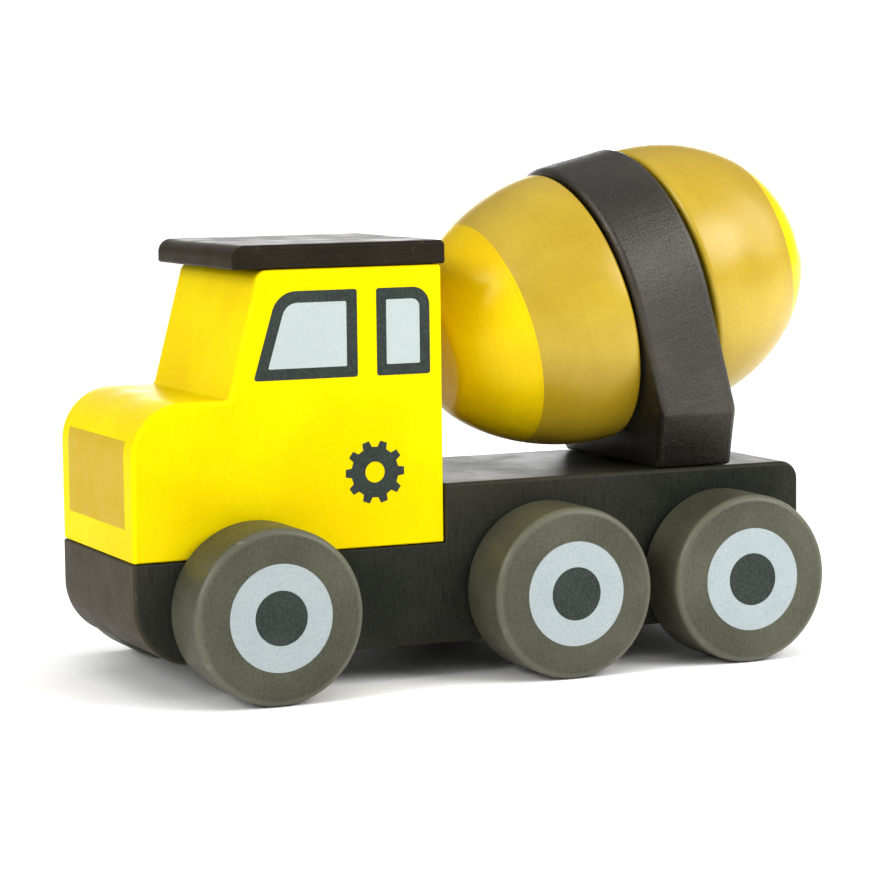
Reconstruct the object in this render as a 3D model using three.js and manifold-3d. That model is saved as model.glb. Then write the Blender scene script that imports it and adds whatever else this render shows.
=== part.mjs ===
// A painted wooden toy cement mixer: a stepped chassis block on three axles, a solid cab with a slab
// roof, and a drum in two turned halves on a spindle that runs through a leaning arch-topped support.
// Millimetres. +X is forward, +Y is the truck's left, +Z is up. The origin is on the floor, in the
// middle of the truck's length and width.
import * as THREE from "three";
import { mergeVertices } from "three/addons/utils/BufferGeometryUtils.js";
import Module from "manifold-3d";

const wasm = await Module();
wasm.setup();

// Driving dimensions.
const gap = 0.3; // clearance between glued or running pieces
const overshoot = 5; // how far a through bore is cut past the faces
const frontX = 82.5; // nose of the bonnet and of the chassis
const bodyWidth = 47; // chassis and cab across Y
const bodyEdge = 0.8; // eased edges of the sawn blocks

// The chassis block.
const chassis = {
  bottomZ: 7,
  seamZ: 28.2, // top of the low front part, under the cab
  deckZ: 40.8, // top of the high rear part
  stepX: 13.4,
  rearX: -71.9,
  noseRadius: 12.5,
  rearTopRadius: 4,
  rearBottomRadius: 3,
};

// The cab block and its roof.
const cab = {
  rearX: 13.8,
  bonnetZ: 60.6,
  bonnetRadius: 11,
  screenFootX: 61.5,
  screenTopX: 54.5,
  topZ: 86.6,
  screenTopRadius: 2.5,
};
const roof = {
  frontX: 60,
  rearX: 12.7,
  thickness: 4.9,
  width: 46.2,
  frontTopRadius: 2.8,
  edge: 0.7,
};

// The drum's axis rises to the rear. Stations are counted along it from the drum's centre.
const drum = {
  centreX: -37.45,
  centreZ: 77.8,
  tilt: THREE.MathUtils.degToRad(14.5),
  face: 9.7, // station of the flat face of each half, before and behind the support
  rimEdge: 1.2, // eased rim beside the support
  frontRadius: 30.1,
  frontCrest: 11.2, // station of the front half's widest turn
  frontReach: 38, // from the widest turn to where the front curve would close
  frontEnd: 44.6, // station of the flat at the narrow end
  frontEndEdge: 2.2,
  frontPower: 1.7, // under 2, so the front half is leaner than an ellipse
  rearRadius: 29.8,
  rearCrest: 10.6,
  rearReach: 35.1,
};
const support = {
  frontFace: 9.2, // station of the face towards the cab
  rearFace: 8.5,
  halfWidth: 31,
  edge: 1.1,
  footHeight: 12.6, // the foot's sides lean in over this height
  footHalfWidth: 22.4,
  footBend: 1.5, // how far the bend at the top of the foot is rounded
};
const spindle = { radius: 5, length: 47 };

// Wheels, axles and the glued dowels.
const wheel = {
  radius: 18.1,
  thickness: 15.7,
  outerEdge: 2.2,
  innerEdge: 1.4,
  sideGap: 1.1, // between a wheel and the chassis
  hubDepth: 9,
};
const axle = { radius: 4, frontX: 57.4, middleX: -8.5, rearX: -50.6 };
const dowel = { radius: 4, length: 20, endGap: 0.6 };
const rodChamfer = 0.6;
const cabDowelX = { front: 71, rear: 29 };
const supportDowel = { x: -46.6, y: 12 };

const paint = {
  dark: { color: 0x332f2b, roughness: 0.5 },
  yellow: { color: 0xf6df14, roughness: 0.4 },
  amber: { color: 0xdcb93c, roughness: 0.35 },
  olive: { color: 0x66665a, roughness: 0.6 },
  bareWood: { color: 0xd8b98a, roughness: 0.75 },
};

// Turns a three.js geometry into a manifold solid, from its positions alone.
function solid(geometry) {
  const bare = new THREE.BufferGeometry();
  bare.setAttribute("position", geometry.getAttribute("position"));
  if (geometry.index) bare.setIndex(geometry.index);
  const merged = mergeVertices(bare, 1e-4);
  return new wasm.Manifold(
    new wasm.Mesh({
      numProp: 3,
      vertProperties: merged.attributes.position.array,
      triVerts: new Uint32Array(merged.index.array),
    }),
  );
}

// Turns a manifold solid back into a flat-shaded three.js geometry.
function geometryOf(body) {
  const mesh = body.getMesh();
  const geometry = new THREE.BufferGeometry();
  geometry.setAttribute("position", new THREE.BufferAttribute(mesh.vertProperties, 3));
  geometry.setIndex(new THREE.BufferAttribute(mesh.triVerts, 1));
  const flat = geometry.toNonIndexed();
  flat.computeVertexNormals();
  return flat;
}

function piece(name, finish, shape) {
  const geometry = shape.isBufferGeometry ? shape : geometryOf(shape);
  const material = new THREE.MeshStandardMaterial({ ...finish, metalness: 0 });
  const mesh = new THREE.Mesh(geometry, material);
  mesh.name = name;
  return mesh;
}

// A side profile, drawn with x forward and y up, sawn from a board of the given width. The board is
// centred on Y, and its long edges are eased.
function sawnBoard(profile, width, edge) {
  const board = new THREE.ExtrudeGeometry(profile, {
    depth: width - 2 * edge,
    bevelEnabled: true,
    bevelThickness: edge,
    bevelSize: edge,
    bevelOffset: -edge,
    bevelSegments: 2,
    curveSegments: 5,
  });
  return board.rotateX(Math.PI / 2).translate(0, width / 2 - edge, 0);
}

// A rod with slightly chamfered ends, centred on the origin and lying along Y.
function rod(radius, length) {
  const half = length / 2;
  const outline = [
    new THREE.Vector2(0, -half),
    new THREE.Vector2(radius - rodChamfer, -half),
    new THREE.Vector2(radius, -half + rodChamfer),
    new THREE.Vector2(radius, half - rodChamfer),
    new THREE.Vector2(radius - rodChamfer, half),
    new THREE.Vector2(0, half),
  ];
  return new THREE.LatheGeometry(outline, 20);
}

// A drill of the given radius and length, centred on the origin and lying along Y.
function drill(radius, length) {
  return new THREE.CylinderGeometry(radius, radius, length, 20);
}

const axleZ = wheel.radius;
const axles = { front: axle.frontX, middle: axle.middleX, rear: axle.rearX };
const cabBottomZ = chassis.seamZ + gap;
const supportBottomZ = chassis.deckZ + gap;
const cabDowelZ = (chassis.seamZ + cabBottomZ) / 2;
const supportDowelZ = (chassis.deckZ + supportBottomZ) / 2;

// Upright drill for a glued dowel.
function dowelHole(x, y, z) {
  const hole = drill(dowel.radius + gap, dowel.length + 2 * dowel.endGap);
  return solid(hole.rotateX(Math.PI / 2).translate(x, y, z));
}

function chassisBlock() {
  const { bottomZ, seamZ, deckZ, stepX, rearX } = chassis;
  const nose = chassis.noseRadius;
  const rearTop = chassis.rearTopRadius;
  const rearBottom = chassis.rearBottomRadius;
  const side = new THREE.Shape();
  side.moveTo(frontX, seamZ);
  side.lineTo(stepX, seamZ);
  side.lineTo(stepX, deckZ);
  side.lineTo(rearX + rearTop, deckZ);
  side.absarc(rearX + rearTop, deckZ - rearTop, rearTop, Math.PI / 2, Math.PI, false);
  side.lineTo(rearX, bottomZ + rearBottom);
  side.absarc(rearX + rearBottom, bottomZ + rearBottom, rearBottom, Math.PI, 1.5 * Math.PI, false);
  side.lineTo(frontX - nose, bottomZ);
  side.absarc(frontX - nose, bottomZ + nose, nose, 1.5 * Math.PI, 2 * Math.PI, false);
  side.closePath();
  let block = solid(sawnBoard(side, bodyWidth, bodyEdge));
  for (const x of Object.values(axles)) {
    const bore = drill(axle.radius + gap, bodyWidth + 2 * overshoot).translate(x, 0, axleZ);
    block = block.subtract(solid(bore));
  }
  for (const x of Object.values(cabDowelX)) {
    block = block.subtract(dowelHole(x, 0, cabDowelZ));
  }
  for (const sign of [-1, 1]) {
    block = block.subtract(dowelHole(supportDowel.x, sign * supportDowel.y, supportDowelZ));
  }
  return block;
}

function cabBlock() {
  const { rearX, bonnetZ, bonnetRadius, screenFootX, screenTopX, topZ, screenTopRadius } = cab;
  const screen = new THREE.Vector2(screenTopX - screenFootX, topZ - bonnetZ).normalize();
  const lean = Math.atan2(screen.y, screen.x) - Math.PI / 2;
  const ease = screenTopRadius * Math.tan((Math.PI / 2 - lean) / 2);
  const side = new THREE.Shape();
  side.moveTo(rearX, cabBottomZ);
  side.lineTo(frontX, cabBottomZ);
  side.lineTo(frontX, bonnetZ - bonnetRadius);
  side.absarc(frontX - bonnetRadius, bonnetZ - bonnetRadius, bonnetRadius, 0, Math.PI / 2, false);
  side.lineTo(screenFootX, bonnetZ);
  side.lineTo(screenTopX - screen.x * ease, topZ - screen.y * ease);
  side.absarc(screenTopX - ease, topZ - screenTopRadius, screenTopRadius, lean, Math.PI / 2, false);
  side.lineTo(rearX, topZ);
  side.closePath();
  let block = solid(sawnBoard(side, bodyWidth, bodyEdge));
  for (const x of Object.values(cabDowelX)) {
    block = block.subtract(dowelHole(x, 0, cabDowelZ));
  }
  return block;
}

function roofSlab() {
  const bottomZ = cab.topZ + gap;
  const topZ = bottomZ + roof.thickness;
  const radius = roof.frontTopRadius;
  const side = new THREE.Shape();
  side.moveTo(roof.rearX, bottomZ);
  side.lineTo(roof.frontX, bottomZ);
  side.lineTo(roof.frontX, topZ - radius);
  side.absarc(roof.frontX - radius, topZ - radius, radius, 0, Math.PI / 2, false);
  side.lineTo(roof.rearX, topZ);
  side.closePath();
  return sawnBoard(side, roof.width, roof.edge);
}

// Places a shape that is built around the Y axis, with y as the station, on the drum's axis.
const onDrumAxis = new THREE.Matrix4()
  .makeTranslation(drum.centreX, 0, drum.centreZ)
  .multiply(new THREE.Matrix4().makeRotationY(drum.tilt))
  .multiply(new THREE.Matrix4().makeRotationZ(Math.PI / 2));

// A blind bore for the spindle, from a drum half's face inwards. side is -1 in front, 1 behind.
function spindleBore(side) {
  const length = spindle.length / 2 + dowel.endGap;
  return solid(drill(spindle.radius + gap, length).translate(0, (side * length) / 2, 0));
}

function drumFront() {
  const steps = 9;
  const { frontRadius, frontCrest, frontReach, frontPower, frontEnd, frontEndEdge } = drum;
  const radiusAt = (station) => {
    const run = (station - frontCrest) / frontReach;
    return frontRadius * Math.sqrt(1 - Math.pow(run, frontPower));
  };
  const curveEnd = frontEnd - frontEndEdge;
  const corner = new THREE.QuadraticBezierCurve(
    new THREE.Vector2(radiusAt(frontEnd) - frontEndEdge, -frontEnd),
    new THREE.Vector2(radiusAt(frontEnd), -frontEnd),
    new THREE.Vector2(radiusAt(curveEnd), -curveEnd),
  );
  const outline = [new THREE.Vector2(0, -frontEnd), ...corner.getPoints(2)];
  for (let i = 1; i <= steps; i++) {
    const station = curveEnd + (frontCrest - curveEnd) * (i / steps);
    outline.push(new THREE.Vector2(radiusAt(station), -station));
  }
  outline.push(new THREE.Vector2(frontRadius - drum.rimEdge, -drum.face));
  outline.push(new THREE.Vector2(0, -drum.face));
  return solid(new THREE.LatheGeometry(outline, 48)).subtract(spindleBore(-1));
}

function drumRear() {
  const steps = 10;
  const outline = [new THREE.Vector2(0, drum.face)];
  outline.push(new THREE.Vector2(drum.rearRadius - drum.rimEdge, drum.face));
  for (let i = 0; i < steps; i++) {
    const angle = (i / steps) * (Math.PI / 2);
    const radius = drum.rearRadius * Math.cos(angle);
    outline.push(new THREE.Vector2(radius, drum.rearCrest + drum.rearReach * Math.sin(angle)));
  }
  outline.push(new THREE.Vector2(0, drum.rearCrest + drum.rearReach));
  return solid(new THREE.LatheGeometry(outline, 48)).subtract(spindleBore(1));
}

// The support's arched board, at right angles to the drum's axis, long enough to be cut at the deck.
function archBoard() {
  const { halfWidth, edge, frontFace, rearFace } = support;
  const reach = drum.centreZ;
  const arch = new THREE.Shape();
  arch.moveTo(-halfWidth, -reach);
  arch.lineTo(halfWidth, -reach);
  arch.absarc(0, 0, halfWidth, 0, Math.PI, false);
  arch.closePath();
  const board = new THREE.ExtrudeGeometry(arch, {
    depth: frontFace + rearFace - 2 * edge,
    bevelEnabled: true,
    bevelThickness: edge,
    bevelSize: edge,
    bevelOffset: -edge,
    bevelSegments: 2,
    curveSegments: 24,
  });
  board.translate(0, 0, edge - rearFace).rotateX(Math.PI / 2).rotateZ(Math.PI / 2);
  return board.rotateY(drum.tilt).translate(drum.centreX, 0, drum.centreZ);
}

// Everything above the deck and between the foot's leaning sides, as a long prism along X.
function footTrim() {
  const { halfWidth, footHeight, footHalfWidth, footBend } = support;
  const bendZ = supportBottomZ + footHeight;
  const lean = new THREE.Vector2(halfWidth - footHalfWidth, footHeight).normalize();
  const far = 2 * drum.centreZ;
  const half = new THREE.Path();
  half.moveTo(footHalfWidth, supportBottomZ);
  half.lineTo(halfWidth - lean.x * footBend, bendZ - lean.y * footBend);
  half.quadraticCurveTo(halfWidth, bendZ, halfWidth, bendZ + footBend);
  half.lineTo(far, bendZ + footBend);
  half.lineTo(far, far);
  const right = half.getPoints(3);
  const left = right.map((point) => new THREE.Vector2(-point.x, point.y)).reverse();
  const prism = new THREE.ExtrudeGeometry(new THREE.Shape([...right, ...left]), {
    depth: 2 * far,
    bevelEnabled: false,
  });
  return prism.translate(0, 0, -far).rotateX(Math.PI / 2).rotateZ(Math.PI / 2);
}

function drumSupport() {
  const boreLength = support.frontFace + support.rearFace + 2 * overshoot;
  const bore = drill(spindle.radius + gap, boreLength).applyMatrix4(onDrumAxis);
  let body = solid(archBoard()).intersect(solid(footTrim())).subtract(solid(bore));
  for (const sign of [-1, 1]) {
    body = body.subtract(dowelHole(supportDowel.x, sign * supportDowel.y, supportDowelZ));
  }
  return body;
}

// A wheel around the Y axis, its printed face towards +Y and its blind hub hole open towards -Y.
function wheelDisc() {
  const { radius, thickness, outerEdge, innerEdge, hubDepth } = wheel;
  const hubRadius = axle.radius + gap;
  const outline = [new THREE.Vector2(0, hubDepth)];
  outline.push(new THREE.Vector2(hubRadius, hubDepth));
  outline.push(new THREE.Vector2(hubRadius, 0));
  const arc = (edge, centreY, from, steps) => {
    for (let i = 0; i <= steps; i++) {
      const angle = from + (i / steps) * (Math.PI / 2);
      const r = radius - edge + edge * Math.cos(angle);
      outline.push(new THREE.Vector2(r, centreY + edge * Math.sin(angle)));
    }
  };
  arc(innerEdge, innerEdge, -Math.PI / 2, 1);
  arc(outerEdge, thickness - outerEdge, 0, 3);
  outline.push(new THREE.Vector2(0, thickness));
  return new THREE.LatheGeometry(outline, 40);
}

const truck = new THREE.Group();
truck.add(piece("chassis", paint.dark, chassisBlock()));
truck.add(piece("cab", paint.yellow, cabBlock()));
truck.add(piece("roof", paint.dark, roofSlab()));
truck.add(piece("drum_support", paint.dark, drumSupport()));

for (const [end, x] of Object.entries(cabDowelX)) {
  const pin = piece("cab_dowel_" + end, paint.bareWood, rod(dowel.radius, dowel.length));
  pin.rotation.x = Math.PI / 2;
  pin.position.set(x, 0, cabDowelZ);
  truck.add(pin);
}
for (const [side, sign] of [["left", 1], ["right", -1]]) {
  const pin = piece("support_dowel_" + side, paint.bareWood, rod(dowel.radius, dowel.length));
  pin.rotation.x = Math.PI / 2;
  pin.position.set(supportDowel.x, sign * supportDowel.y, supportDowelZ);
  truck.add(pin);
}

// The two halves and their spindle turn together about the drum's axis.
const mixer = new THREE.Group();
mixer.applyMatrix4(onDrumAxis);
mixer.add(piece("drum_front", paint.amber, drumFront()));
mixer.add(piece("drum_rear", paint.amber, drumRear()));
mixer.add(piece("drum_spindle", paint.bareWood, rod(spindle.radius, spindle.length)));
truck.add(mixer);

// Each axle turns in the chassis with a wheel glued on both ends.
for (const [place, x] of Object.entries(axles)) {
  const turning = new THREE.Group();
  turning.position.set(x, 0, axleZ);
  const length = bodyWidth + 2 * (wheel.sideGap + wheel.hubDepth - gap);
  turning.add(piece("axle_" + place, paint.bareWood, rod(axle.radius, length)));
  for (const [side, sign] of [["left", 1], ["right", -1]]) {
    const disc = piece("wheel_" + place + "_" + side, paint.olive, wheelDisc());
    disc.position.y = sign * (bodyWidth / 2 + wheel.sideGap);
    if (sign < 0) disc.rotation.x = Math.PI;
    turning.add(disc);
  }
  truck.add(turning);
}

export default truck;
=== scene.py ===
"""The painted wooden toy cement mixer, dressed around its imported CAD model.

The row frame: +X is forward, +Y is the truck's left, +Z is up, in metres. Shapes are drawn in
millimetres and scaled when they become meshes. Every mesh is stored in the row frame, so its
object sits at the origin.
"""

import math

import bmesh
import bpy
from mathutils import Matrix, Vector


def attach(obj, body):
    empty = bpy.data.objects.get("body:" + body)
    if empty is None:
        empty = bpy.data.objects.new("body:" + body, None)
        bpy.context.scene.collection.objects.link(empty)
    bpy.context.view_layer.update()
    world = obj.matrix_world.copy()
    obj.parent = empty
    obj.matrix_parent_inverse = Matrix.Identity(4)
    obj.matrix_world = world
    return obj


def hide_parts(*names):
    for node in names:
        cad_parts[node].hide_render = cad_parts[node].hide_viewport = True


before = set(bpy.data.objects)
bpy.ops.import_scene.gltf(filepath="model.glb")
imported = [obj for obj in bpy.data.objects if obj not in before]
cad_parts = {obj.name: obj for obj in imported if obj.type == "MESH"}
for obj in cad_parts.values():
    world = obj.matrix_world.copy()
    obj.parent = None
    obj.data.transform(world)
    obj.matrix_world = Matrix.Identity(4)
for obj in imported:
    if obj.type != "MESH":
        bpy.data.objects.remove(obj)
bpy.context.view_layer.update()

MM = 0.001
QUARTER = math.pi / 2

# Driving dimensions, in millimetres.
FRONT_X = 82.5
BODY_WIDTH = 47
BODY_EASE = 1.0  # rounding of the chassis block's long edges
SEAM = 0.1  # how much a glued piece stands clear of the piece under it
GLUED_SHARE = 0.4  # edges between glued blocks are eased by this share
FOOT_SHARE = 0.3  # and those under the support's foot by this one
GRILLE_INSET = 0.05  # the cab's front stays this far back, so that its print stays inside the CAD

CHASSIS = {
    "bottom": 7,
    "seam": 28.35,
    "deck": 40.8,
    "step": 13.6,
    "rear": -71.9,
    "nose_radius": 12.5,
    "seam_radius": 0.5,
    "step_radius": 0.3,
    "deck_radius": 0.6,
    "rear_top_radius": 4,
    "rear_bottom_radius": 3,
}
CAB = {
    "rear": 13.8,
    "bonnet": 60.6,
    "bonnet_radius": 11,
    "screen_foot": 61.5,
    "screen_top": 54.5,
    "top": 86.75,
    "foot_radius": 0.5,
    "screen_foot_radius": 1.0,
    "screen_top_radius": 2.5,
    "rear_top_radius": 0.8,
    "ease": 1.2,
}
ROOF = {
    "front": 60,
    "rear": 12.7,
    "top": 91.8,
    "width": 46.2,
    "under_radius": 0.6,
    "front_radius": 2.8,
    "rear_radius": 1.2,
    "ease": 0.9,
}

# The drum's axis rises to the rear. Stations are counted along it from the drum's centre.
DRUM_CENTRE = Vector((-37.45, 0, 77.8))
DRUM_TILT = math.radians(14.5)
DRUM_FACE = 9.7
DRUM_RIM = 1.2
FRONT_HALF = {"radius": 30.05, "crest": 11.2, "reach": 38, "end": 44.55, "power": 1.7, "end_ease": 2.2}
REAR_HALF = {"radius": 29.75, "crest": 10.6, "reach": 35.0}
FRONT_BAND = 30.5  # stations where the amber paint ends
REAR_BAND = 33.9
SUPPORT = {
    "front": 9.2,
    "rear": 8.5,
    "half_width": 30.95,
    "bottom": 40.9,
    "bend": 53.7,
    "foot_half_width": 22.4,
    "foot_radius": 1.2,
    "bend_radius": 5,
    "ease": 1.5,
}
SPINDLE_BORE = {"radius": 5.3, "depth": 24.1, "drill": 30}

WHEEL = {"radius": 18.1, "inner": 24.6, "outer": 40.24, "outer_ease": 1.7, "inner_ease": 1.2}
HUB = {"bore": 4.3, "depth": 9, "disc": 5.6, "ring": 11}
AXLE_X = {"front": 57.4, "middle": -8.5, "rear": -50.6}
AXLE_Z = 18.1
BORE_RADIUS = 4.3
DOWEL_HOLE = {"radius": 4.3, "half_depth": 10.6}
CAB_DOWELS = ((71, 0), (29, 0))
SUPPORT_DOWELS = ((-46.6, 12), (-46.6, -12))
DRILL_OVERRUN = 10  # how much longer a drill is than the block it goes through
PRINT = 0.04  # how far a printed patch stands proud

# How finely round things are drawn.
TURNED_STEPS = 112
PRINT_STEPS = 96
DRILL_STEPS = 48
LEAST_RADIUS = 0.02  # of an outline's corner
BLUNT_RADIUS = 5  # corners of this radius or more don't wear
SHARP_DEGREES = 35  # edges that turn more than this stay sharp
WELD_REACH = 1e-6  # metres; points closer than this become one


# ---------------------------------------------------------------- outlines


def cross(a, b):
    """The cross product of two flat vectors."""
    return a.x * b.y - a.y * b.x


def outline(corners, inset=0.0):
    """The rounded outline through corners (x, y, radius[, inset share of the edge that follows]).

    The corners go anticlockwise. Returns (point, wear) pairs; wear is high on tight corners, and marks
    both edge wear and the painted edge highlight.
    """
    points = []
    count = len(corners)
    for i, corner in enumerate(corners):
        before = Vector(corners[i - 1][:2])
        here = Vector(corner[:2])
        after = Vector(corners[(i + 1) % count][:2])
        along = (here - before).normalized()
        onward = (after - here).normalized()
        turn = math.atan2(cross(along, onward), along.dot(onward))
        share_before = corners[i - 1][3] if len(corners[i - 1]) > 3 else 1.0
        share_after = corner[3] if len(corner) > 3 else 1.0
        shift_before = Vector((-along.y, along.x)) * inset * share_before
        shift_after = Vector((-onward.y, onward.x)) * inset * share_after
        run = cross(shift_after - shift_before, onward) / cross(along, onward)
        moved = here + shift_before + along * run
        change = inset * (share_before + share_after) / 2
        radius = max(corner[2] - math.copysign(change, turn), LEAST_RADIUS)
        start = moved - along * radius * math.tan(abs(turn) / 2)
        side = Vector((-along.y, along.x)) * math.copysign(radius, turn)
        centre = start + side
        steps = 3 + int(3 * math.sqrt(corner[2]) * abs(turn))
        tight = max(0.0, 1 - corner[2] / BLUNT_RADIUS) if turn > 0 else 0.0
        for k in range(steps + 1):
            point = centre + Matrix.Rotation(turn * k / steps, 2) @ -side
            points.append((point, tight * math.sin(math.pi * k / steps)))
    return points


def eased_edge(ease, steps=6):
    """(run, inset, wear) round an eased edge, from the flat face to the side. wear marks both edge
    wear and the painted edge highlight.
    """
    edge = []
    for k in range(steps + 1):
        angle = QUARTER * k / steps
        edge.append((ease * (1 - math.cos(angle)), ease * (1 - math.sin(angle)), math.sin(2 * angle)))
    return edge


def eased(low, high, ease):
    """(station, inset, wear) from low to high, with both ends rounded off. wear marks both edge wear
    and the painted edge highlight.
    """
    edge = eased_edge(ease)
    start = [(low + run, inset, wear) for run, inset, wear in edge]
    end = [(high - run, inset, wear) for run, inset, wear in reversed(edge)]
    return start + end


# ---------------------------------------------------------------- closed surfaces


class Surface:
    """A closed surface being drawn: points in millimetres, their wear, and faces. The wear marks both
    edge wear and the painted edge highlight.
    """

    def __init__(self):
        self.points = []
        self.wear = []
        self.faces = []

    def ring(self, pairs):
        """Adds a ring of (point, wear) pairs and returns its indices."""
        first = len(self.points)
        self.points.extend(Vector(point) for point, wear in pairs)
        self.wear.extend(wear for point, wear in pairs)
        return list(range(first, len(self.points)))

    def join(self, a, b):
        """Quads between two rings of the same length."""
        for i in range(len(a)):
            j = (i + 1) % len(a)
            self.faces.append((a[i], b[i], b[j], a[j]))

    def close(self, ring):
        """One face that caps a ring."""
        self.faces.append(tuple(ring))

    def absorb(self, other):
        """Takes in another surface, and returns the number of its first face in this one."""
        first_point = len(self.points)
        first_face = len(self.faces)
        self.points += other.points
        self.wear += other.wear
        for face in other.faces:
            self.faces.append(tuple(first_point + i for i in face))
        return first_face


def lofted(rings, capped=True):
    """A surface through rings of (point, wear) pairs, capped or joined end to start."""
    surface = Surface()
    indices = [surface.ring(ring) for ring in rings]
    for a, b in zip(indices, indices[1:]):
        surface.join(a, b)
    if capped:
        surface.close(indices[0])
        surface.close(indices[-1])
    else:
        surface.join(indices[-1], indices[0])
    return surface


def sawn_board(corners, width, ease):
    """A board centred on Y whose side profile is corners in (x, z), with eased long edges."""
    rings = []
    for station, inset, rim_wear_and_highlight in eased(-width / 2, width / 2, ease):
        profile = outline(corners, inset)
        rings.append([((p.x, station, p.y), max(wear, rim_wear_and_highlight)) for p, wear in profile])
    return lofted(rings)


def turned(profile, steps=TURNED_STEPS):
    """A turned solid round Z. profile holds (radius, station, wear), and both ends meet the axis. wear
    marks both edge wear and the painted edge highlight.
    """
    surface = Surface()
    rings = []
    for radius, station, wear in profile[1:-1]:
        ring = []
        for k in range(steps):
            angle = 2 * math.pi * k / steps
            ring.append(((radius * math.cos(angle), radius * math.sin(angle), station), wear))
        rings.append(surface.ring(ring))
    for a, b in zip(rings, rings[1:]):
        surface.join(a, b)
    for (radius, station, wear), ring in ((profile[0], rings[0]), (profile[-1], rings[-1])):
        tip = surface.ring([((0, 0, station), wear)])[0]
        for i in range(steps):
            surface.faces.append((tip, ring[i], ring[(i + 1) % steps]))
    return surface


def plate(corners, y_side, low, high):
    """A thin printed patch on a side of the truck, its outline in (x, z)."""
    profile = outline(corners)
    rings = []
    for depth in (low, high):
        rings.append([((p.x, y_side * depth, p.y), 0.0) for p, wear in profile])
    return lofted(rings)


# ---------------------------------------------------------------- objects


def mesh_object(name, surface, place=Matrix.Identity(4)):
    """Makes the object of a surface, placed in the row frame, with its wear as an attribute. That wear
    marks both edge wear and the painted edge highlight.
    """
    mesh = bpy.data.meshes.new(name)
    points = [(place @ point) * MM for point in surface.points]
    mesh.from_pydata(points, [], surface.faces)
    edge_wear_and_highlight = mesh.attributes.new("edge_wear_and_highlight", "FLOAT", "POINT")
    edge_wear_and_highlight.data.foreach_set("value", surface.wear)
    work = bmesh.new()
    work.from_mesh(mesh)
    bmesh.ops.remove_doubles(work, verts=work.verts, dist=WELD_REACH)
    bmesh.ops.recalc_face_normals(work, faces=work.faces)
    work.to_mesh(mesh)
    work.free()
    piece = bpy.data.objects.new(name, mesh)
    bpy.context.scene.collection.objects.link(piece)
    return piece


def drilled(piece, drills):
    """Cuts round bores. drills holds (radius, length, place)."""
    for radius, length, place in drills:
        half = length / 2
        profile = ((0, -half, 0), (radius, -half, 0), (radius, half, 0), (0, half, 0))
        tool = mesh_object("drill", turned(profile, DRILL_STEPS), place)
        cut = piece.modifiers.new("bore", "BOOLEAN")
        cut.operation = "DIFFERENCE"
        cut.solver = "EXACT"
        cut.object = tool
        depsgraph = bpy.context.evaluated_depsgraph_get()
        mesh = bpy.data.meshes.new_from_object(piece.evaluated_get(depsgraph))
        piece.modifiers.clear()
        piece.data = mesh
        bpy.data.objects.remove(tool)
    return piece


def finish_piece(piece, body, materials, node=None, zone=None):
    """Shades a piece, gives it its materials and rides it on a body.

    zone tells the number of a face's material.
    """
    mesh = piece.data
    mesh.materials.clear()
    for material in materials:
        mesh.materials.append(material)
    mesh.polygons.foreach_set("use_smooth", [True] * len(mesh.polygons))
    for face in mesh.polygons:
        face.material_index = zone(face) if zone else 0
    mesh.set_sharp_from_angle(angle=math.radians(SHARP_DEGREES))
    weighted = piece.modifiers.new("weighted", "WEIGHTED_NORMAL")
    weighted.keep_sharp = True
    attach(piece, body)
    if node:
        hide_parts(node)


# ---------------------------------------------------------------- the body


def dowel_holes(places, z):
    """Drills for upright dowel holes that reach as far above the height z as below it."""
    length = 2 * DOWEL_HOLE["half_depth"]
    return [(DOWEL_HOLE["radius"], length, Matrix.Translation((x, y, z))) for x, y in places]


def chassis_block():
    """The long dark block, one step lower under the cab, with its axle bores and dowel holes."""
    c = CHASSIS
    corners = (
        (c["rear"], c["bottom"], c["rear_bottom_radius"]),
        (FRONT_X, c["bottom"], c["nose_radius"]),
        (FRONT_X, c["seam"], c["seam_radius"], GLUED_SHARE),
        (c["step"], c["seam"], c["step_radius"], GLUED_SHARE),
        (c["step"], c["deck"], c["deck_radius"]),
        (c["rear"], c["deck"], c["rear_top_radius"]),
    )
    piece = mesh_object("chassis_block", sawn_board(corners, BODY_WIDTH, BODY_EASE))
    drills = []
    for x in AXLE_X.values():
        place = Matrix.Translation((x, 0, AXLE_Z)) @ Matrix.Rotation(QUARTER, 4, "X")
        drills.append((BORE_RADIUS, BODY_WIDTH + DRILL_OVERRUN, place))
    drills += dowel_holes(CAB_DOWELS, c["seam"])
    drills += dowel_holes(SUPPORT_DOWELS, c["deck"] + SEAM / 2)
    return drilled(piece, drills)


def cab_block():
    """The yellow block, sawn to the profile of a bonnet, a sloping screen and a straight back."""
    c = CAB
    front = FRONT_X - GRILLE_INSET
    bottom = CHASSIS["seam"] + SEAM
    corners = (
        (c["rear"], bottom, c["foot_radius"], GLUED_SHARE),
        (front, bottom, c["foot_radius"]),
        (front, c["bonnet"], c["bonnet_radius"]),
        (c["screen_foot"], c["bonnet"], c["screen_foot_radius"]),
        (c["screen_top"], c["top"], c["screen_top_radius"]),
        (c["rear"], c["top"], c["rear_top_radius"]),
    )
    piece = mesh_object("cab_block", sawn_board(corners, BODY_WIDTH, c["ease"]))
    return drilled(piece, dowel_holes(CAB_DOWELS, CHASSIS["seam"]))


def roof_slab():
    """The thin dark slab on the cab, which overhangs the screen."""
    r = ROOF
    bottom = CAB["top"] + SEAM
    corners = (
        (r["rear"], bottom, r["under_radius"]),
        (r["front"], bottom, r["under_radius"]),
        (r["front"], r["top"], r["front_radius"]),
        (r["rear"], r["top"], r["rear_radius"]),
    )
    return mesh_object("roof_slab", sawn_board(corners, r["width"], r["ease"]))


# ---------------------------------------------------------------- the drum and its support

LEAN = Matrix.Translation(DRUM_CENTRE) @ Matrix.Rotation(DRUM_TILT, 4, "Y")
REARWARD = LEAN @ Matrix.Rotation(-QUARTER, 4, "Y")  # local Z runs up the axis, to the rear
FORWARD = LEAN @ Matrix.Rotation(QUARTER, 4, "Y")  # local Z runs down the axis, to the front


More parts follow.
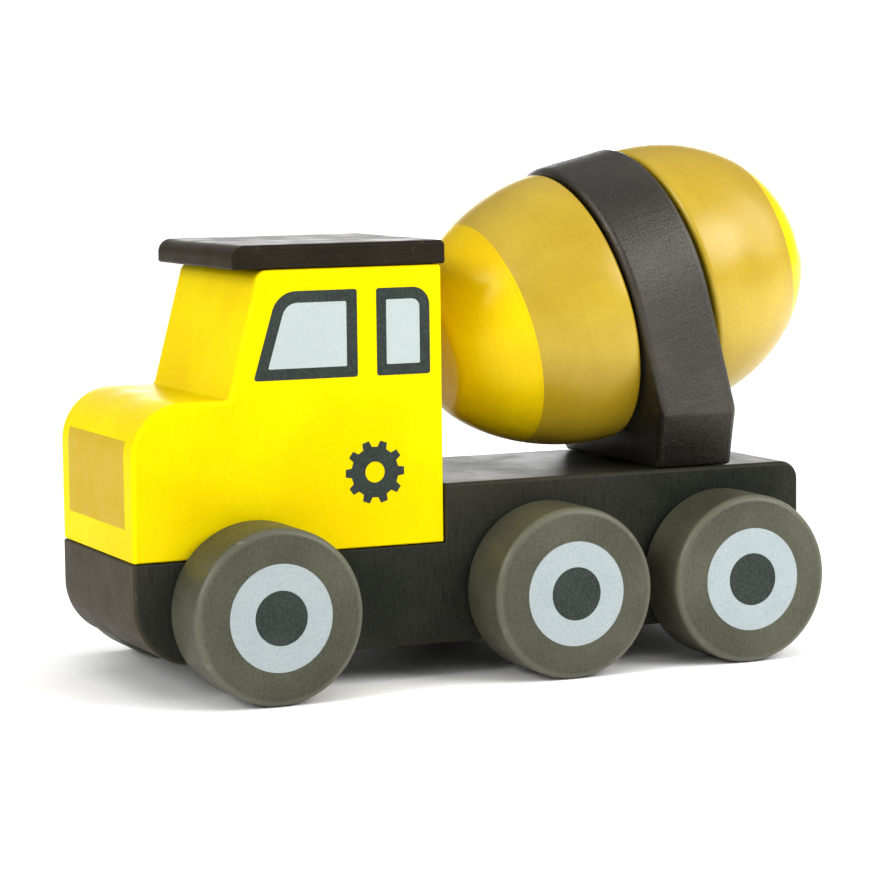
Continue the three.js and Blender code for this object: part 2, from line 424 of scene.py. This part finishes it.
def support_board():
    """The arch-topped board, lofted along the drum's axis and cut level at the deck."""
    s = SUPPORT
    rise = math.sin(DRUM_TILT)
    upright = math.cos(DRUM_TILT)
    rings = []
    half = s["half_width"]
    for station, inset, rim_wear_and_highlight in eased(-s["front"], s["rear"], s["ease"]):
        bottom = (s["bottom"] - DRUM_CENTRE.z - station * rise) / upright
        bend = (s["bend"] - DRUM_CENTRE.z - station * rise) / upright
        corners = (
            (-s["foot_half_width"], bottom, s["foot_radius"], FOOT_SHARE),
            (s["foot_half_width"], bottom, s["foot_radius"]),
            (half, bend, s["bend_radius"]),
            (half, half, half),
            (-half, half, half),
            (-half, bend, s["bend_radius"]),
        )
        ring = []
        for p, wear in outline(corners, inset):
            ring.append((REARWARD @ Vector((p.y, p.x, station)), max(wear, rim_wear_and_highlight)))
        rings.append(ring)
    piece = mesh_object("support_board", lofted(rings))
    holes = dowel_holes(SUPPORT_DOWELS, CHASSIS["deck"] + SEAM / 2)
    bore = (SPINDLE_BORE["radius"], SPINDLE_BORE["drill"], REARWARD)
    return drilled(piece, holes + [bore])


def half_profile(crown, curve):
    """The profile of a drum half: its spindle bore, flat face, eased rim, then the curve."""
    bore = SPINDLE_BORE["radius"]
    depth = SPINDLE_BORE["depth"]
    profile = [(0, depth, 0), (bore, depth, 0), (bore, DRUM_FACE, 0)]
    for run, inset, wear in eased_edge(DRUM_RIM):
        profile.append((crown - inset, DRUM_FACE + run, wear))
    return profile + curve


def front_half():
    """The front half, which narrows to a small flat end."""
    f = FRONT_HALF
    ease = f["end_ease"]

    def radius_at(station):
        """The flank's radius, which falls off slowly behind the crest."""
        run = max(0.0, (station - f["crest"]) / f["reach"])
        return f["radius"] * math.sqrt(1 - run ** f["power"])

    curve = []
    last = f["end"] - ease
    steps = 30
    for k in range(1, steps + 1):
        station = f["crest"] + (last - f["crest"]) * k / steps
        curve.append((radius_at(station), station, 0))
    start = Vector((radius_at(last), last))
    corner = Vector((radius_at(f["end"]), f["end"]))
    end = Vector((corner.x - ease, f["end"]))
    corner_steps = 8
    for k in range(1, corner_steps + 1):
        t = k / corner_steps
        point = start * (1 - t) ** 2 + corner * 2 * t * (1 - t) + end * t * t
        curve.append((point.x, point.y, math.sin(math.pi * t)))
    curve.append((0, f["end"], 0))
    return mesh_object("mixer_front", turned(half_profile(f["radius"], curve)), FORWARD)


def rear_half():
    """The rear half, which closes like the end of an egg."""
    r = REAR_HALF
    curve = []
    steps = 32
    for k in range(steps):
        angle = QUARTER * k / steps
        station = r["crest"] + r["reach"] * math.sin(angle)
        if station > DRUM_FACE + DRUM_RIM:
            curve.append((r["radius"] * math.cos(angle), station, 0))
    curve.append((0, r["crest"] + r["reach"], 0))
    return mesh_object("mixer_rear", turned(half_profile(r["radius"], curve)), REARWARD)


def axis_station(face):
    """How far a face's middle lies along the drum's axis, towards the rear, in millimetres."""
    return (REARWARD.inverted() @ (face.center / MM)).z


# ---------------------------------------------------------------- wheels


def wheel_place(x, side):
    """Local Z points outwards from the wheel's inner face."""
    spot = Matrix.Translation((x, side * WHEEL["inner"], AXLE_Z))
    return spot @ Matrix.Rotation(-side * QUARTER, 4, "X")


def wheel_disc(name, x, side):
    """A turned wheel with a blind bore for its axle and one eased edge on each face."""
    w = WHEEL
    thickness = w["outer"] - w["inner"]
    rim_steps = 7
    profile = [(0, HUB["depth"], 0), (HUB["bore"], HUB["depth"], 0), (HUB["bore"], 0, 0)]
    for run, inset, wear in eased_edge(w["inner_ease"], rim_steps):
        profile.append((w["radius"] - inset, run, wear))
    for run, inset, wear in reversed(eased_edge(w["outer_ease"], rim_steps)):
        profile.append((w["radius"] - inset, thickness - run, wear))
    profile.append((0, thickness, 0))
    return mesh_object(name, turned(profile), wheel_place(x, side))


def hub_print(name, x, side):
    """The printed pale ring and dark disc on a wheel's outer face."""
    face = WHEEL["outer"] - WHEEL["inner"]
    profile = (
        (0, face - PRINT, 0),
        (HUB["ring"], face - PRINT, 0),
        (HUB["ring"], face + PRINT, 0),
        (HUB["disc"], face + PRINT, 0),
        (0, face + PRINT, 0),
    )
    return mesh_object(name, turned(profile, PRINT_STEPS), wheel_place(x, side))


# ---------------------------------------------------------------- prints on the cab

FRAME_LEVELS = {"low": 64.2, "high": 82.3, "corner": 0.6}
PANE_LEVELS = {"low": 66.5, "high": 79.9, "corner": 0.3}


def window_corners(levels, rear, front, front_high, rear_radius=None, front_radius=None):
    """Corners (x, z, radius) of a frame or a pane. Its front edge leans back to front_high."""
    corner = levels["corner"]
    return (
        (rear, levels["low"], corner),
        (front, levels["low"], corner),
        (front_high, levels["high"], front_radius or corner),
        (rear, levels["high"], rear_radius or corner),
    )


WINDOWS = {
    "front": {
        "frame": window_corners(FRAME_LEVELS, 33.1, 56.1, 50.6, front_radius=5.5),
        "pane": window_corners(PANE_LEVELS, 35.5, 52.9, 48.8, front_radius=3.4),
    },
    "rear": {
        "frame": window_corners(FRAME_LEVELS, 16.8, 28.8, 28.8, rear_radius=3.8),
        "pane": window_corners(PANE_LEVELS, 19.1, 26.6, 26.6, rear_radius=1.7),
    },
}
GRILLE = {"half_width": 18.2, "bottom": 35.0, "top": 52.9}
EMBLEM = {
    "x": 29.6,
    "z": 44.2,
    "tip": 6.6,
    "root": 5.3,
    "hole": 2.2,
    "teeth": 10,
    "tip_share": 0.19,  # half the width of a tooth at its tip and root, as a share of the pitch
    "root_share": 0.30,
}


def window_print(name, window, side):
    """A printed window on one side of the cab, and the number of its pale pane's first face."""
    face = BODY_WIDTH / 2
    patch = plate(window["frame"], side, face - PRINT, face + PRINT / 2)
    first_pane_face = patch.absorb(plate(window["pane"], side, face, face + PRINT))
    return mesh_object(name, patch), first_pane_face


def bonnet_face(z):
    """The cab's foremost x at a height, following the bonnet's rounded edge."""
    rise = max(0.0, z - (CAB["bonnet"] - CAB["bonnet_radius"]))
    drop = CAB["bonnet_radius"] - math.sqrt(CAB["bonnet_radius"] ** 2 - rise ** 2)
    return FRONT_X - GRILLE_INSET - drop


def grille_print():
    """The printed grille, wrapped over the start of the bonnet's curve."""
    g = GRILLE
    steps = 24
    heights = [g["bottom"] + (g["top"] - g["bottom"]) * k / steps for k in range(steps + 1)]
    outside = [(bonnet_face(z) + PRINT, z) for z in heights]
    inside = [(bonnet_face(z) - PRINT, z) for z in reversed(heights)]
    rings = []
    for y in (-g["half_width"], g["half_width"]):
        rings.append([((x, y, z), 0.0) for x, z in outside + inside])
    return mesh_object("grille_print", lofted(rings))


def emblem_print(name, side):
    """A plain toothed wheel, printed low on the cab's side."""
    e = EMBLEM
    face = BODY_WIDTH / 2
    pitch = 2 * math.pi / e["teeth"]
    tooth = (
        (-e["root_share"], e["root"]),
        (-e["tip_share"], e["tip"]),
        (e["tip_share"], e["tip"]),
        (e["root_share"], e["root"]),
    )
    rims = {"outer": [], "inner": []}
    for k in range(e["teeth"]):
        for lag, radius in tooth:
            angle = pitch * (k + lag)
            rims["outer"].append((radius * math.cos(angle), radius * math.sin(angle)))
            rims["inner"].append((e["hole"] * math.cos(angle), e["hole"] * math.sin(angle)))
    rings = []
    for rim, depth in (("outer", -PRINT), ("outer", PRINT), ("inner", PRINT), ("inner", -PRINT)):
        ring = []
        for x, z in rims[rim]:
            ring.append(((e["x"] + x, side * (face + depth), e["z"] + z), 0.0))
        rings.append(ring)
    return mesh_object(name, lofted(rings, capped=False))


# ---------------------------------------------------------------- materials


def linear(red, green, blue):
    """A colour given as 0 to 255, as the shader wants it."""
    channels = []
    for value in (red, green, blue):
        share = value / 255
        channels.append(share / 12.92 if share <= 0.04045 else ((share + 0.055) / 1.055) ** 2.4)
    return (*channels, 1.0)


# How many features to the metre each noise has.
PAINT_NOISE = {
    "streaks": 1700,
    "skin": 2900,
    "dust": 4200,
    "clouds": 34,
    "scuffs": 240,
    "gloss": 110,
    "waves": 120,
}
PRINT_NOISE = {"pores": 2700, "clouds": 160}
DRUM_NOISE = {"rings": 900, "clouds": 40, "skin": 1300, "gloss": 80, "waves": 90}
BEECH_NOISE = {"grain": 700, "flecks": 1500}

# Depth of the relief, in millimetres.
PRINT_RELIEF = 0.02
DRUM_RELIEF = {"rings": 0.008, "waves": 0.02, "skin": 0.008}
BEECH_RELIEF = 0.04


class Look:
    """One material's node tree, with short calls for the nodes that the looks share."""

    def __init__(self, name, **constants):
        self.material = bpy.data.materials.new(name)
        self.material.use_nodes = True
        self.tree = self.material.node_tree
        self.shader = self.tree.nodes["Principled BSDF"]
        for socket, value in constants.items():
            self.shader.inputs[socket.replace("_", " ")].default_value = value
        self.place = self.add("ShaderNodeTexCoord").outputs["Object"]

    def add(self, kind, **settings):
        """A new node with its settings."""
        node = self.tree.nodes.new(kind)
        for name, value in settings.items():
            setattr(node, name, value)
        return node

    def feed(self, socket, value):
        """Links an output to a socket, or sets the socket to a plain value."""
        if isinstance(value, bpy.types.NodeSocket):
            self.tree.links.new(value, socket)
        else:
            socket.default_value = value

    def local(self, matrix):
        """From here on, textures are placed in the local frame that matrix puts in the truck."""
        node = self.add("ShaderNodeMapping", vector_type="TEXTURE")
        self.feed(node.inputs["Vector"], self.place)
        node.inputs["Location"].default_value = matrix.translation * MM
        node.inputs["Rotation"].default_value = matrix.to_euler("XYZ")
        self.place = node.outputs[0]

    def noise(self, scale, stretch=(1, 1, 1), detail=3, roughness=0.55, shift=0.0):
        """Noise of about scale features to the metre. stretch lengthens them along an axis."""
        node = self.add("ShaderNodeMapping")
        self.feed(node.inputs["Vector"], self.place)
        node.inputs["Scale"].default_value = [scale / share for share in stretch]
        node.inputs["Location"].default_value = (shift, shift, shift)
        texture = self.add("ShaderNodeTexNoise")
        self.feed(texture.inputs["Vector"], node.outputs[0])
        texture.inputs["Scale"].default_value = 1.0
        texture.inputs["Detail"].default_value = detail
        texture.inputs["Roughness"].default_value = roughness
        return texture.outputs[0]

    def range(self, value, low, high, to_low=0.0, to_high=1.0):
        """Turns low to high into to_low to to_high. Most of a noise lies between 0.3 and 0.7."""
        node = self.add("ShaderNodeMapRange", interpolation_type="SMOOTHSTEP")
        self.feed(node.inputs["Value"], value)
        node.inputs["From Min"].default_value = low
        node.inputs["From Max"].default_value = high
        node.inputs["To Min"].default_value = to_low
        node.inputs["To Max"].default_value = to_high
        return node.outputs[0]

    def arithmetic(self, operation, a, b=0.0):
        """The result of a sum on one or two values."""
        node = self.add("ShaderNodeMath", operation=operation)
        self.feed(node.inputs[0], a)
        self.feed(node.inputs[1], b)
        return node.outputs[0]

    def mix(self, a, b, factor):
        """The colour a, turned into b by a factor of 0 to 1."""
        node = self.add("ShaderNodeMix", data_type="RGBA")
        self.feed(node.inputs["Factor"], factor)
        self.feed(node.inputs[6], a)
        self.feed(node.inputs[7], b)
        return node.outputs[2]

    def end_grain_and_front_light(self):
        """How squarely a face looks along the truck, 0 to 1: there the boards are cut across. The
        lighter colour laid there is partly end grain and partly painted light on the lit front faces.
        """
        separate = self.add("ShaderNodeSeparateXYZ")
        self.feed(separate.inputs[0], self.add("ShaderNodeNewGeometry").outputs["Normal"])
        return self.range(self.arithmetic("ABSOLUTE", separate.outputs[0]), 0.25, 0.80)

    def edge_wear_and_highlight(self):
        """The edge mask that mesh_object stored, 0 on flat faces and 1 in the middle of an eased edge.
        It places both edge wear and the painted edge highlight.
        """
        node = self.add("ShaderNodeAttribute", attribute_type="GEOMETRY", attribute_name="edge_wear_and_highlight")
        return node.outputs["Fac"]

    def bump(self, height, depth_mm, normal=None):
        """Relief of a depth in millimetres, on top of the relief in normal."""
        node = self.add("ShaderNodeBump")
        self.feed(node.inputs["Height"], height)
        node.inputs["Distance"].default_value = depth_mm * MM
        node.inputs["Strength"].default_value = 1.0
        if normal:
            self.feed(node.inputs["Normal"], normal)
        return node.outputs[0]

    def finish(self, colour, roughness, normal):
        """Feeds the shader and returns the material."""
        self.feed(self.shader.inputs["Base Color"], colour)
        self.feed(self.shader.inputs["Roughness"], roughness)
        self.feed(self.shader.inputs["Normal"], normal)
        return self.material


def painted(
    name, shades, grain, streaks, speckle, rough, rim, pebble, shift,
    rim_share=0.4, wear=None, ends=None, local=None, waviness=0.03, **constants,
):
    """Sprayed paint over wood: faint grain, a fine pebbled skin, slow clouding, and edges that are
    partly rubbed and partly given a painted highlight.

    shades are the dark, middle and light colours; grain stretches the streaks along the wood.
    rim, wear and ends are the colours of the edges, the scuffs on them and the faces that look along
    the truck. The edge colour is partly rubbed paint and partly a painted highlight; the ends colour
    is partly the end grain's tone and partly painted light on the lit front faces.
    pebble and waviness are depths in millimetres. shift moves the noises, so paints differ.
    """
    look = Look(name, **constants)
    if local:
        look.local(local)
    streak = look.noise(PAINT_NOISE["streaks"], grain, detail=4, shift=shift)
    skin = look.noise(PAINT_NOISE["skin"], detail=3, roughness=0.65, shift=shift + 3)
    dust = look.noise(PAINT_NOISE["dust"], detail=1, roughness=0.5, shift=shift + 5)
    cloud = look.noise(PAINT_NOISE["clouds"], detail=2, shift=shift + 7)
    dark, middle, light = (linear(*shade) for shade in shades)
    colour = look.mix(middle, light, look.range(cloud, 0.38, 0.66, 0, 0.6))
    # Painted light, partly end grain: faces that look along the truck, front and rear, turn lighter
    # and browner.
    if ends:
        colour = look.mix(colour, linear(*ends), look.end_grain_and_front_light())
    colour = look.mix(colour, dark, look.range(streak, 0.45, 0.70, 0, streaks))
    colour = look.mix(colour, dark, look.range(skin, 0.50, 0.70, 0, speckle))
    colour = look.mix(colour, light, look.range(skin, 0.48, 0.30, 0, speckle))
    colour = look.mix(colour, light, look.range(dust, 0.60, 0.74, 0, speckle))
    edge_wear_and_highlight = look.edge_wear_and_highlight()
    # Painted highlight, partly rubbed paint: the eased edges turn towards the rim colour.
    colour = look.mix(colour, linear(*rim), look.range(edge_wear_and_highlight, 0.1, 1.0, 0, rim_share))
    if wear:
        patches = look.noise(PAINT_NOISE["scuffs"], detail=4, roughness=0.7, shift=shift + 11)
        scuff = look.arithmetic("MULTIPLY", edge_wear_and_highlight, look.range(patches, 0.60, 0.74, 0, 0.7))
        colour = look.mix(colour, linear(*wear), scuff)
    smudge = look.noise(PAINT_NOISE["gloss"], detail=3, shift=shift + 17)
    polish = look.arithmetic("MULTIPLY", edge_wear_and_highlight, -0.06)
    roughness = look.arithmetic("ADD", look.range(smudge, 0.3, 0.7, *rough), polish)
    long_waves = [max(1, share * 0.4) for share in grain]
    waves = look.noise(PAINT_NOISE["waves"], long_waves, detail=2, shift=shift + 23)
    relief = look.arithmetic("ADD", skin, look.arithmetic("MULTIPLY", streak, streaks))
    normal = look.bump(relief, pebble, look.bump(waves, waviness))
    return look.finish(colour, roughness, normal)


def printed(name, base, fleck, shift, amount=0.35, **constants):
    """Ink or film on painted wood, with the wood's pores showing through as flecks."""
    look = Look(name, **constants)
    pores = look.noise(PRINT_NOISE["pores"], detail=3, roughness=0.65, shift=shift)
    cloud = look.noise(PRINT_NOISE["clouds"], detail=3, shift=shift + 5)
    colour = look.mix(linear(*base), linear(*fleck), look.range(pores, 0.44, 0.66, 0, amount))
    colour = look.mix(colour, linear(*fleck), look.range(cloud, 0.4, 0.8, 0, amount * 0.4))
    roughness = look.range(cloud, 0.3, 0.7, 0.4, 0.55)
    return look.finish(colour, roughness, look.bump(pores, PRINT_RELIEF))


def turned_paint(name, shades, rough, shift, **constants):
    """Glossy paint on the turned drum, with faint tool rings round its axis and a painted highlight on
    its eased rims.
    """
    look = Look(name, **constants)
    look.local(REARWARD)
    separate = look.add("ShaderNodeSeparateXYZ")
    look.feed(separate.inputs[0], look.place)
    ring_noise = look.add("ShaderNodeTexNoise", noise_dimensions="1D")
    along = look.arithmetic("MULTIPLY", separate.outputs[2], DRUM_NOISE["rings"])
    look.feed(ring_noise.inputs["W"], along)
    ring_noise.inputs["Scale"].default_value = 1.0
    ring_noise.inputs["Detail"].default_value = 5
    ring_noise.inputs["Roughness"].default_value = 0.7
    rings = ring_noise.outputs[0]
    cloud = look.noise(DRUM_NOISE["clouds"], detail=3, shift=shift)
    skin = look.noise(DRUM_NOISE["skin"], detail=3, roughness=0.65, shift=shift + 3)
    dark, middle, light = (linear(*shade) for shade in shades)
    colour = look.mix(middle, light, look.range(cloud, 0.35, 0.7))
    colour = look.mix(colour, dark, look.range(rings, 0.45, 0.75, 0, 0.12))
    colour = look.mix(colour, dark, look.range(skin, 0.52, 0.72, 0, 0.16))
    colour = look.mix(colour, light, look.range(skin, 0.46, 0.30, 0, 0.16))
    # Painted highlight: the drum's eased rims turn towards the light shade.
    colour = look.mix(colour, light, look.range(look.edge_wear_and_highlight(), 0.1, 1.0, 0, 0.6))
    smudge = look.noise(DRUM_NOISE["gloss"], detail=3, shift=shift + 9)
    roughness = look.range(smudge, 0.3, 0.7, *rough)
    waves = look.noise(DRUM_NOISE["waves"], detail=1, shift=shift + 13)
    normal = look.bump(rings, DRUM_RELIEF["rings"])
    normal = look.bump(waves, DRUM_RELIEF["waves"], normal)
    normal = look.bump(skin, DRUM_RELIEF["skin"], normal)
    return look.finish(colour, roughness, normal)


def bare_wood():
    """Unpainted beech, with short dark flecks along the dowel."""
    look = Look("bare_beech", Specular_IOR_Level=0.3)
    grain = look.noise(BEECH_NOISE["grain"], (1, 9, 1), detail=4)
    flecks = look.noise(BEECH_NOISE["flecks"], (1, 6, 1), detail=2, roughness=0.7, shift=4)
    colour = look.mix(linear(216, 185, 138), linear(188, 150, 102), look.range(grain, 0.4, 0.7))
    colour = look.mix(colour, linear(140, 100, 62), look.range(flecks, 0.6, 0.72, 0, 0.7))
    normal = look.bump(grain, BEECH_RELIEF)
    return look.finish(colour, look.range(grain, 0.3, 0.7, 0.6, 0.78), normal)


# How much longer the paint's streaks are than wide.
ALONG_X = (10, 1, 1)
ALONG_Z = (1, 1, 8)
ACROSS_DISC = (1, 4, 4)


def make_materials():
    """Every look by name. Colours are given as 0 to 255."""
    # Each rim colour is lighter than its paint: partly rubbed paint, partly a painted edge highlight.
    # The ends colours of the chassis and roof are painted light on the lit front faces, partly end
    # grain.
    return {
        "cab": painted(
            "cab_yellow", ((206, 172, 2), (229, 204, 2), (240, 222, 6)), ALONG_Z,
            streaks=0.10, speckle=0.25, rough=(0.26, 0.36), rim=(246, 228, 20), pebble=0.035,
            shift=1.0, Specular_IOR_Level=0.015,
        ),
        "chassis": painted(
            "chassis_dark", ((24, 26, 22), (44, 46, 40), (66, 67, 60)), ALONG_Z,
            streaks=0.35, speckle=0.5, rough=(0.34, 0.42), wear=(90, 80, 66), rim=(70, 64, 52),
            ends=(76, 68, 54), pebble=0.02, waviness=0.01, shift=2.0, Specular_IOR_Level=0.04,
        ),
        "support": painted(
            "support_dark", ((4, 4, 3), (14, 12, 9), (60, 54, 44)), ALONG_X,
            streaks=0.8, speckle=1.0, rough=(0.30, 0.40), wear=(92, 82, 68), rim=(44, 41, 35),
            local=LEAN, pebble=0.11, waviness=0.015, shift=3.0, Specular_IOR_Level=0.75,
            Specular_Tint=(1.0, 0.95, 0.87, 1.0),
        ),
        "roof": painted(
            "roof_dark", ((24, 20, 15), (42, 37, 29), (62, 55, 44)), ALONG_X,
            streaks=0.4, speckle=0.5, rough=(0.34, 0.46), wear=(90, 80, 66), rim=(46, 42, 34),
            ends=(56, 48, 36), waviness=0.015, pebble=0.02, shift=4.0, Specular_IOR_Level=0.06,
        ),
        "amber": turned_paint(
            "drum_amber", ((153, 121, 14), (174, 146, 26), (188, 162, 43)), rough=(0.29, 0.37),
            shift=1.0, Specular_IOR_Level=0.55,
        ),
        "drum_yellow": turned_paint(
            "drum_yellow", ((196, 158, 2), (216, 184, 2), (228, 200, 6)), rough=(0.20, 0.28),
            shift=2.0, Specular_IOR_Level=0.15,
        ),
        "olive": painted(
            "wheel_olive", ((44, 44, 34), (71, 71, 58), (100, 100, 84)), ACROSS_DISC,
            streaks=0.2, speckle=0.45, rough=(0.38, 0.5), wear=(132, 130, 114), rim=(112, 113, 98),
            rim_share=0.5, pebble=0.025, shift=5.0, Specular_IOR_Level=0.3,
        ),
        "grille": printed(
            "grille_ochre", (198, 171, 48), (180, 148, 38), shift=1.0, Specular_IOR_Level=0.08,
        ),
        "slate": printed(
            "print_slate", (42, 50, 46), (76, 86, 80), amount=0.5, shift=2.0, Specular_IOR_Level=0.25,
        ),
        "pane": printed(
            "print_pane", (180, 190, 189), (160, 172, 174), shift=3.0, Specular_IOR_Level=0.3,
        ),
        "ring": printed(
            "print_ring", (166, 175, 176), (137, 149, 155), amount=0.5, shift=4.0,
            Specular_IOR_Level=0.3,
        ),
        "wood": bare_wood(),
    }


# ---------------------------------------------------------------- assembly


def dress_body(looks):
    """The chassis, cab, roof and support, and the prints on the cab."""
    finish_piece(chassis_block(), "chassis", [looks["chassis"]], "chassis")
    finish_piece(cab_block(), "chassis", [looks["cab"]], "cab")
    finish_piece(roof_slab(), "chassis", [looks["roof"]], "roof")
    finish_piece(support_board(), "chassis", [looks["support"]], "drum_support")
    finish_piece(grille_print(), "chassis", [looks["grille"]])
    for side, label in ((1, "left"), (-1, "right")):
        finish_piece(emblem_print(f"emblem_{label}", side), "chassis", [looks["slate"]])
        for place, window in WINDOWS.items():
            piece, first_pane_face = window_print(f"window_{place}_{label}", window, side)
            finish_piece(
                piece, "chassis", [looks["slate"], looks["pane"]],
                zone=lambda face: int(face.index >= first_pane_face),
            )


def dress_drum(looks):
    """The two turned halves: amber beside the support, yellow at the ends."""
    paints = [looks["amber"], looks["drum_yellow"]]
    finish_piece(
        front_half(), "drum", paints, "drum_front",
        zone=lambda face: int(axis_station(face) < -FRONT_BAND),
    )
    finish_piece(
        rear_half(), "drum", paints, "drum_rear",
        zone=lambda face: int(axis_station(face) > REAR_BAND),
    )


def hub_distance(face, x):
    """How far a face's middle lies from the middle of the wheels at x, in millimetres."""
    middle = face.center / MM
    return math.hypot(middle.x - x, middle.z - AXLE_Z)


def dress_wheels(looks):
    """Six olive wheels, each with a pale ring round a dark disc printed on its hub."""
    for axle, x in AXLE_X.items():
        for side, label in ((1, "left"), (-1, "right")):
            spot = f"{axle}_{label}"
            disc = wheel_disc(f"disc_{spot}", x, side)
            finish_piece(disc, f"{axle}_axle", [looks["olive"]], f"wheel_{spot}")
            hub = hub_print(f"hub_print_{spot}", x, side)
            finish_piece(
                hub, f"{axle}_axle", [looks["ring"], looks["slate"]],
                zone=lambda face: int(hub_distance(face, x) < HUB["disc"]),
            )


def dress_joinery(looks):
    """The hidden dowels, the spindle and the axles keep their CAD shape."""
    for name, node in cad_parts.items():
        if "dowel" in name or "axle" in name or "spindle" in name:
            node.data.materials.clear()
            node.data.materials.append(looks["wood"])


# ---------------------------------------------------------------- studio

# The camera's sensor and lens are in millimetres and its angles in degrees.
VIEW = {"sensor": 36, "lens": 125.4, "azimuth": 155.635, "elevation": 6.156, "roll": -0.682}
CAMERA_PLACE = (280.2, 612.9, 118.4)  # millimetres
VIEW_GAMMA = 0.88  # brings the middle tones down to the photograph's contrast

UP = (0, 0, 1)
FLOOR_REACH = 6.0  # metres
LIT_SPOT = (0, 0, 50)  # where the lamps point, in millimetres
SUN_DISTANCE = 1.0  # metres

# The room's light. An edge is given as cosines of the angle to a direction.
BACKDROP_SIDE = (-0.41, -0.91, 0)
BACKDROP_EDGE = (0.82, 0.98)
BACKDROP_TOP = (0.10, 0.34)
BACKDROP_LIGHT = 5.5
CEILING_EDGE = (0.30, 0.90)
CEILING_LIGHT = 0.85
ROOM_LIGHT = 0.22


def make_floor():
    """A plain white floor, wide enough for its edge to stay out of sight."""
    mesh = bpy.data.meshes.new("floor")
    reach = FLOOR_REACH
    mesh.from_pydata(
        [(-reach, -reach, 0), (reach, -reach, 0), (reach, reach, 0), (-reach, reach, 0)],
        [],
        [(0, 1, 2, 3)],
    )
    floor = bpy.data.objects.new("floor", mesh)
    bpy.context.scene.collection.objects.link(floor)
    look = Look("floor_white", Specular_IOR_Level=0.1)
    cloud = look.noise(3)
    colour = look.mix(linear(252, 252, 252), linear(254, 254, 254), cloud)
    floor.data.materials.append(look.finish(colour, 0.9, look.bump(cloud, 0.01)))
    return floor


def make_lamp(name, data, direction, distance):
    """Places a lamp so that it shines from a direction onto the middle of the truck."""
    lamp = bpy.data.objects.new(name, data)
    bpy.context.scene.collection.objects.link(lamp)
    towards = Vector(direction).normalized()
    lamp.location = Vector(LIT_SPOT) * MM + towards * distance
    lamp.rotation_euler = towards.to_track_quat("Z", "Y").to_euler()
    return lamp


def make_sun(name, direction, strength, spread):
    """A sun whose disc is spread degrees wide, for soft shadows."""
    data = bpy.data.lights.new(name, "SUN")
    data.energy = strength
    data.angle = math.radians(spread)
    return make_lamp(name, data, direction, SUN_DISTANCE)


def make_soft_box(name, direction, distance, power, size):
    """A round soft box. Its distance and size are in metres and its power is in watts."""
    data = bpy.data.lights.new(name, "AREA")
    data.energy = power
    data.shape = "DISK"
    data.size = size
    make_lamp(name, data, direction, distance)


def make_world():
    """A dim white room with a lighter ceiling, and a bright backdrop low down behind the truck.

    The camera itself sees plain white all round.
    """
    world = bpy.data.worlds.new("studio")
    bpy.context.scene.world = world
    world.use_nodes = True
    tree = world.node_tree
    background = tree.nodes["Background"]
    direction = tree.nodes.new("ShaderNodeTexCoord").outputs["Generated"]

    def glow(towards, edge, low, high):
        """Light that goes from low to high across an edge, as the direction nears a vector."""
        facing = tree.nodes.new("ShaderNodeVectorMath")
        facing.operation = "DOT_PRODUCT"
        facing.inputs[1].default_value = towards
        tree.links.new(direction, facing.inputs[0])
        spread = tree.nodes.new("ShaderNodeMapRange")
        spread.interpolation_type = "SMOOTHSTEP"
        spread.inputs["From Min"].default_value = edge[0]
        spread.inputs["From Max"].default_value = edge[1]
        spread.inputs["To Min"].default_value = low
        spread.inputs["To Max"].default_value = high
        tree.links.new(facing.outputs["Value"], spread.inputs["Value"])
        return spread.outputs[0]

    def combined(operation, a, b):
        """The result of a sum on two outputs."""
        node = tree.nodes.new("ShaderNodeMath")
        node.operation = operation
        tree.links.new(a, node.inputs[0])
        tree.links.new(b, node.inputs[1])
        return node.outputs[0]

    backdrop = glow(BACKDROP_SIDE, BACKDROP_EDGE, 0.0, BACKDROP_LIGHT)
    low_down = glow(UP, BACKDROP_TOP, 1.0, 0.0)
    ceiling = glow(UP, CEILING_EDGE, ROOM_LIGHT, CEILING_LIGHT)
    lit = combined("ADD", combined("MULTIPLY", backdrop, low_down), ceiling)
    seen = tree.nodes.new("ShaderNodeLightPath").outputs["Is Camera Ray"]
    tree.links.new(combined("MAXIMUM", lit, seen), background.inputs["Strength"])
    background.inputs["Color"].default_value = (1, 1, 1, 1)


def make_camera():
    """The photograph's camera, fitted to the truck's edges."""
    data = bpy.data.cameras.new("camera")
    data.sensor_width = VIEW["sensor"]
    data.lens = VIEW["lens"]
    azimuth = math.radians(VIEW["azimuth"])
    elevation = math.radians(VIEW["elevation"])
    roll = math.radians(VIEW["roll"])
    back = Vector((
        math.sin(azimuth) * math.cos(elevation),
        -math.cos(azimuth) * math.cos(elevation),
        math.sin(elevation),
    ))
    level = (-back).cross(Vector(UP)).normalized()
    upward = level.cross(-back)
    right = level * math.cos(roll) + upward * math.sin(roll)
    top = upward * math.cos(roll) - level * math.sin(roll)
    camera = bpy.data.objects.new("camera", data)
    bpy.context.scene.collection.objects.link(camera)
    place = Matrix((right, top, back)).transposed().to_4x4()
    place.translation = Vector(CAMERA_PLACE) * MM
    camera.matrix_world = place
    bpy.context.scene.camera = camera


def make_studio():
    """The floor, the room, four lamps on the truck and one that lights the floor alone."""
    floor = make_floor()
    make_world()
    make_sun("key", (0.85, 0.20, 0.48), strength=1.80, spread=30)
    make_sun("fill", (0.40, 0.82, 0.42), strength=0.38, spread=60)
    make_soft_box("side_box", (-0.54, 0.68, 0.50), distance=0.6, power=2.2, size=0.36)
    make_soft_box("rear_box", (-0.86, 0.22, 0.46), distance=0.7, power=1.3, size=0.45)
    table_light = make_sun("table_light", UP, strength=0.75, spread=60)
    lit_by_table_light = bpy.data.collections.new("lit_by_table_light")
    lit_by_table_light.objects.link(floor)
    table_light.light_linking.receiver_collection = lit_by_table_light
    make_camera()
    view = bpy.context.scene.view_settings
    view.view_transform = "Standard"
    view.gamma = VIEW_GAMMA


looks = make_materials()
dress_body(looks)
dress_drum(looks)
dress_wheels(looks)
dress_joinery(looks)
make_studio()
